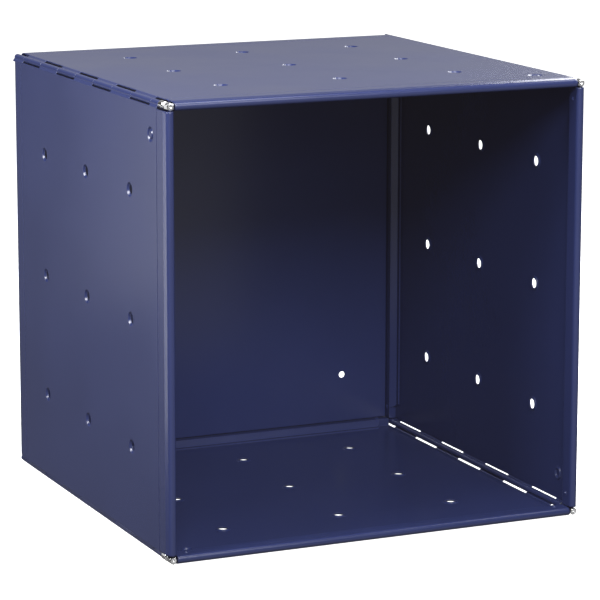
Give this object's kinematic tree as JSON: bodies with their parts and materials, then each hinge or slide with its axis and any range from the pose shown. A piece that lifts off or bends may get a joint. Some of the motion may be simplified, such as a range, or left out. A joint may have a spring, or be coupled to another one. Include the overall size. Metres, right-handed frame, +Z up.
{
  "type": "storage cube",
  "caption": "Open-fronted modular storage cube of painted sheet steel, its panels joined by interlocking hinge knuckles on removable rods with bright front caps.",
  "frame": {"origin": "middle of the underside, at the centre of the box's footprint", "axes": "+X to the right seen from the open front, +Y to the rear, +Z up"},
  "size_m": [0.4, 0.39, 0.4],
  "materials": {
    "painted_steel": "semi-gloss navy powder coat on 1 mm sheet steel",
    "bright_plate": "bright nickel-chrome plate on turned steel",
    "rod_steel": "drawn bright steel, zinc flash"
  },
  "bodies": {
    "cube": {"bottom_panel": "painted_steel", "right_panel": "painted_steel", "top_panel": "painted_steel", "left_panel": "painted_steel", "rear_bush_bottom_left": "rod_steel", "rear_bush_bottom_right": "rod_steel", "rear_bush_top_left": "rod_steel", "rear_bush_top_right": "rod_steel"},
    "back": {"back_panel": "painted_steel"},
    "rod_bottom_left": {"hinge_rod_bottom_left": "rod_steel", "corner_sleeve_bottom_left": "bright_plate"},
    "cap_bottom_left": {"corner_cap_bottom_left": "bright_plate"},
    "rod_bottom_right": {"hinge_rod_bottom_right": "rod_steel", "corner_sleeve_bottom_right": "bright_plate"},
    "cap_bottom_right": {"corner_cap_bottom_right": "bright_plate"},
    "rod_top_left": {"hinge_rod_top_left": "rod_steel", "corner_sleeve_top_left": "bright_plate"},
    "cap_top_left": {"corner_cap_top_left": "bright_plate"},
    "rod_top_right": {"hinge_rod_top_right": "rod_steel", "corner_sleeve_top_right": "bright_plate"},
    "cap_top_right": {"corner_cap_top_right": "bright_plate"}
  },
  "joints": [
    {"name": "back_slide", "type": "slide", "parent": "cube", "child": "back", "axis": [0, 1, 0], "range_m": [0, 0.06]},
    {"name": "rod_slide_bottom_left", "type": "slide", "parent": "cube", "child": "rod_bottom_left", "axis": [0, -1, 0], "range_m": [0, 0.395]},
    {"name": "cap_turn_bottom_left", "type": "hinge", "parent": "rod_bottom_left", "child": "cap_bottom_left", "pos_m": [-0.1955, -0.19, 0.0045], "axis": [0, -1, 0], "continuous": true},
    {"name": "rod_slide_bottom_right", "type": "slide", "parent": "cube", "child": "rod_bottom_right", "axis": [0, -1, 0], "range_m": [0, 0.395]},
    {"name": "cap_turn_bottom_right", "type": "hinge", "parent": "rod_bottom_right", "child": "cap_bottom_right", "pos_m": [0.1955, -0.19, 0.0045], "axis": [0, -1, 0], "continuous": true},
    {"name": "rod_slide_top_left", "type": "slide", "parent": "cube", "child": "rod_top_left", "axis": [0, -1, 0], "range_m": [0, 0.395]},
    {"name": "cap_turn_top_left", "type": "hinge", "parent": "rod_top_left", "child": "cap_top_left", "pos_m": [-0.1955, -0.19, 0.3955], "axis": [0, -1, 0], "continuous": true},
    {"name": "rod_slide_top_right", "type": "slide", "parent": "cube", "child": "rod_top_right", "axis": [0, -1, 0], "range_m": [0, 0.395]},
    {"name": "cap_turn_top_right", "type": "hinge", "parent": "rod_top_right", "child": "cap_top_right", "pos_m": [0.1955, -0.19, 0.3955], "axis": [0, -1, 0], "continuous": true}
  ]
}
